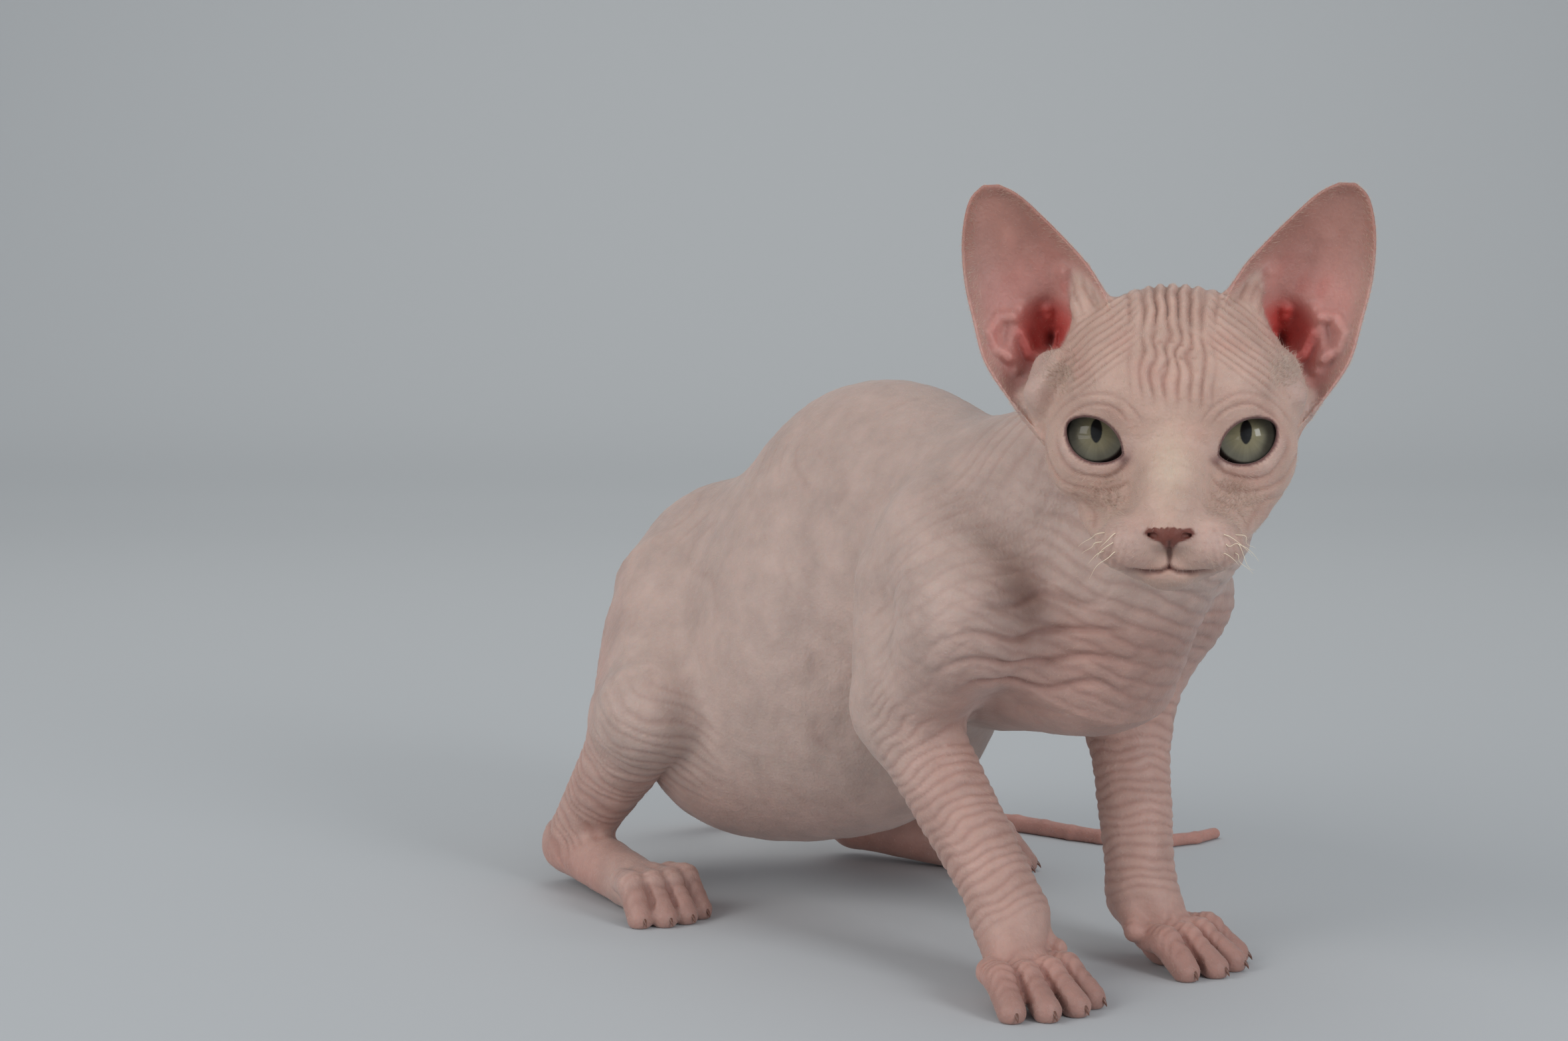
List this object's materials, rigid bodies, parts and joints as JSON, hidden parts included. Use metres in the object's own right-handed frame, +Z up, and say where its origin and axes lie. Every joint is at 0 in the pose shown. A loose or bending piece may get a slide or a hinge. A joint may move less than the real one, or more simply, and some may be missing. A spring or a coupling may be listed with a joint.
{
  "type": "sphynx kitten figure",
  "caption": "Life-size still figure of a hairless kitten crouching on four feet, large ears up, head turned to its right, thin tail laid along the floor.",
  "frame": {"origin": "middle of the figure's outline on the floor, seen from above", "axes": "+Z up, the body faces -Y, +X is the animal's left side"},
  "size_m": [0.2178, 0.282, 0.2018],
  "materials": {
    "skin": "bare wrinkled skin, soft matt sheen",
    "ear": "thin bare skin, pink inside",
    "eye": "wet, glossy",
    "claw": "smooth horn"
  },
  "bodies": {
    "root": {"head": "skin", "neck": "skin", "chest": "skin", "belly": "skin", "rump": "skin", "ear_left": "ear", "ear_right": "ear", "eye_left": "eye", "eye_right": "eye", "fore_right_upper": "skin", "fore_right_lower": "skin", "fore_right_foot": "skin", "fore_left_upper": "skin", "fore_left_lower": "skin", "fore_left_foot": "skin", "hind_right_upper": "skin", "hind_right_lower": "skin", "hind_right_foot": "skin", "hind_left_upper": "skin", "hind_left_lower": "skin", "hind_left_foot": "skin", "fore_right_claw_1": "claw", "fore_right_claw_2": "claw", "fore_right_claw_3": "claw", "fore_right_claw_4": "claw", "fore_left_claw_1": "claw", "fore_left_claw_2": "claw", "fore_left_claw_3": "claw", "fore_left_claw_4": "claw", "hind_right_claw_1": "claw", "hind_right_claw_2": "claw", "hind_right_claw_3": "claw", "hind_right_claw_4": "claw", "hind_left_claw_1": "claw", "hind_left_claw_2": "claw", "hind_left_claw_3": "claw", "hind_left_claw_4": "claw", "tail_1": "skin", "tail_2": "skin", "tail_3": "skin", "tail_4": "skin", "tail_5": "skin"}
  },
  "joints": []
}
